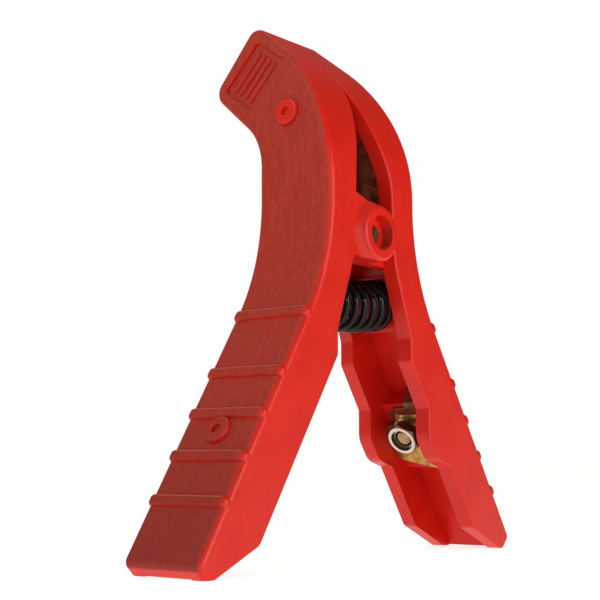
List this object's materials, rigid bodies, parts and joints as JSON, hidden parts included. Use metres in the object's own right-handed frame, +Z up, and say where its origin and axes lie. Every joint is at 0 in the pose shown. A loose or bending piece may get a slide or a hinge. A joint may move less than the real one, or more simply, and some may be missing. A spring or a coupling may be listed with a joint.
{
  "type": "ground clamp",
  "caption": "Insulated spring clamp that stands open on its two grips, with side-swept jaws, a coil spring and a stud terminal for the cable in one grip.",
  "frame": {"origin": "centre of the footprint, on the surface the clamp stands on", "axes": "+Z up through the closed jaws, +X from the plain left half to the right half with the terminal, +Y along the pivot pin towards the side the jaws sweep to"},
  "size_m": [0.1516, 0.0508, 0.1642],
  "materials": {
    "red_plastic": "moulded, fine texture on the broad faces, smooth on the sides",
    "black_spring": "glossy black coating",
    "brass": "stamped sheet",
    "zinc_steel": "bright zinc plate",
    "pin_steel": "yellow zinc plate"
  },
  "bodies": {
    "right_half": {"right_half_shell": "red_plastic", "right_jaw_contact": "brass", "right_contact_rivets": "brass", "conductor_strip": "brass", "terminal_plate": "brass", "terminal_washer": "zinc_steel", "terminal_spring_washer": "zinc_steel", "terminal_nut": "zinc_steel", "terminal_bolt": "pin_steel", "right_nose_peg": "red_plastic", "right_grip_peg": "red_plastic", "pivot_spacer": "pin_steel", "spring": "black_spring"},
    "left_half": {"left_half_shell": "red_plastic", "left_jaw_contact": "brass", "left_contact_rivets": "brass", "left_nose_peg": "red_plastic", "left_grip_peg": "red_plastic", "pivot_pin": "pin_steel", "pivot_retainer": "pin_steel"}
  },
  "joints": [
    {"name": "jaw_pivot", "type": "hinge", "parent": "right_half", "child": "left_half", "pos_m": [0, -0.00907, 0.0968], "axis": [0, -1, 0], "range_deg": [0, 35], "stiffness_Nm_per_rad": 3.3, "springref_deg": -28.65, "deforming": ["spring"]}
  ]
}
